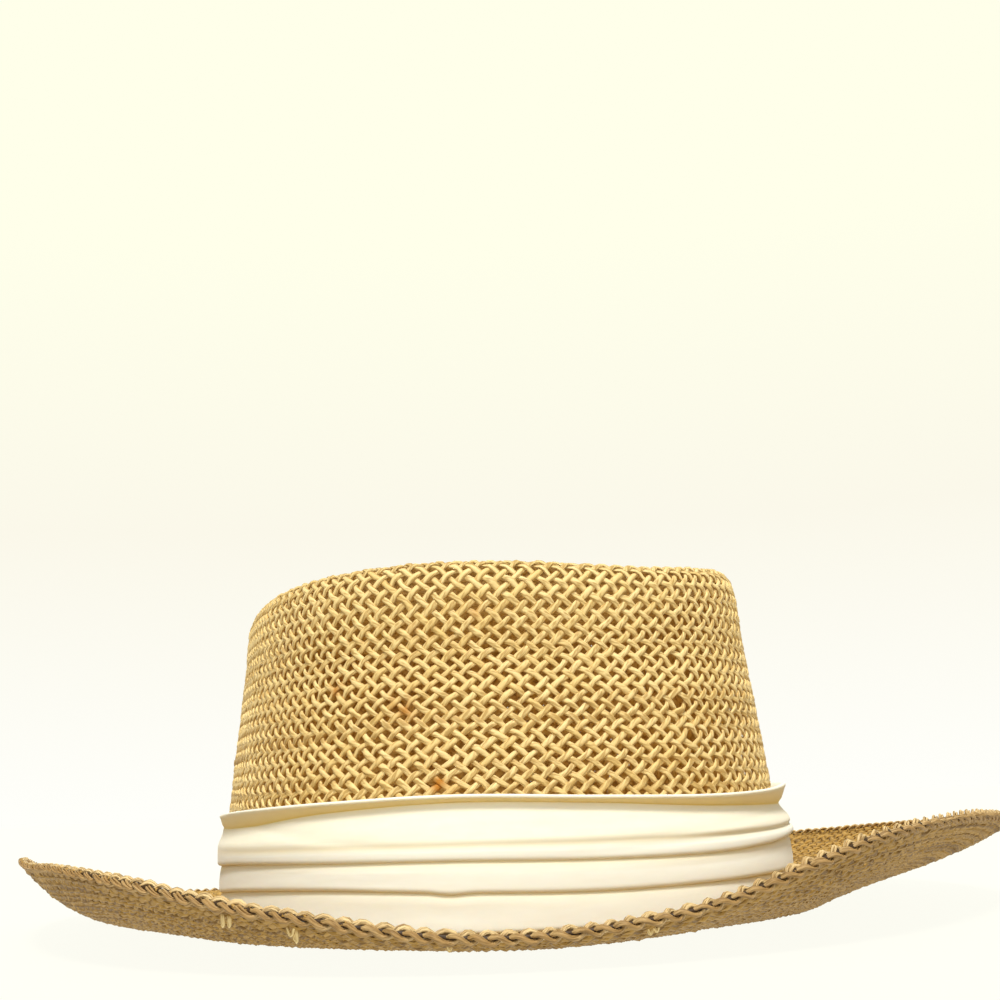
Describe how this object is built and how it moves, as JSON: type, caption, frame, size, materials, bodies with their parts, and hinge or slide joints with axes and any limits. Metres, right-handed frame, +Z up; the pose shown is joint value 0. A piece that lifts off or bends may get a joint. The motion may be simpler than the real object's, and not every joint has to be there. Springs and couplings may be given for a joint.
{
  "type": "safari hat",
  "caption": "Open weave straw hat with a flat topped oval crown, a pleated cloth band and a brim curled up at both sides and edged with a straw plait.",
  "frame": {"origin": "under the middle of the brim's outline, in the plane on which the hat stands", "axes": "+Z up, -Y towards the front of the hat, +X towards its right side as seen from the front; the head's long axis lies along Y"},
  "size_m": [0.3066, 0.3374, 0.0997],
  "materials": {
    "woven_straw": "open plain weave of twisted natural straw strands, dry and slightly glossy",
    "plaited_straw": "thick plait of natural straw strands round the brim's edge",
    "band_cotton": "smooth matte cream cotton cloth, laid in soft pleats"
  },
  "bodies": {
    "root": {"woven_hood": "woven_straw", "brim_edge_plait": "plaited_straw", "pleated_band": "band_cotton"}
  },
  "joints": []
}
